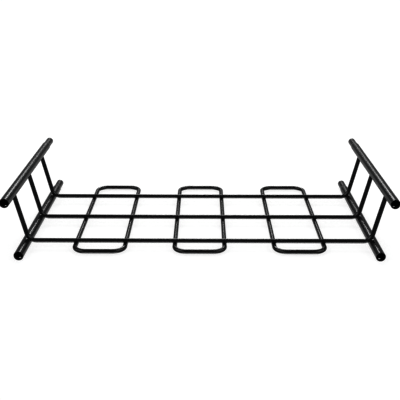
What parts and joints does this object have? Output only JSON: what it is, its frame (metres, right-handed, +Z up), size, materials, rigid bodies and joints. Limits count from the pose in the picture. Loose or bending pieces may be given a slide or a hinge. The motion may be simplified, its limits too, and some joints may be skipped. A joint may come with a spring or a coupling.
{
  "type": "roof basket",
  "caption": "Open steel roof basket extension with tubular sides, bent cross rods, floor loops and plug-in tube ends.",
  "frame": {"origin": "middle of the basket in plan, at the level under the lower side tubes", "axes": "+X across the vehicle to the right, +Y from the open mouths to the necked tube ends, +Z up"},
  "size_m": [1, 0.584, 0.168],
  "materials": {
    "tube_coat": "satin black powder coat",
    "rod_coat": "satin black powder coat",
    "weld_coat": "satin black powder coat over weld beads"
  },
  "bodies": {
    "root": {"lower_tube_left": "tube_coat", "lower_tube_right": "tube_coat", "upper_rail_left": "tube_coat", "upper_rail_right": "tube_coat", "cross_rod_front": "rod_coat", "cross_rod_middle": "rod_coat", "cross_rod_rear": "rod_coat", "floor_loop_left": "rod_coat", "floor_loop_center": "rod_coat", "floor_loop_right": "rod_coat", "tube_weld_front_left": "weld_coat", "tube_weld_middle_left": "weld_coat", "tube_weld_rear_left": "weld_coat", "tube_weld_front_right": "weld_coat", "tube_weld_middle_right": "weld_coat", "tube_weld_rear_right": "weld_coat", "rail_weld_front_left": "weld_coat", "rail_weld_middle_left": "weld_coat", "rail_weld_rear_left": "weld_coat", "rail_weld_front_right": "weld_coat", "rail_weld_middle_right": "weld_coat", "rail_weld_rear_right": "weld_coat"}
  },
  "joints": []
}
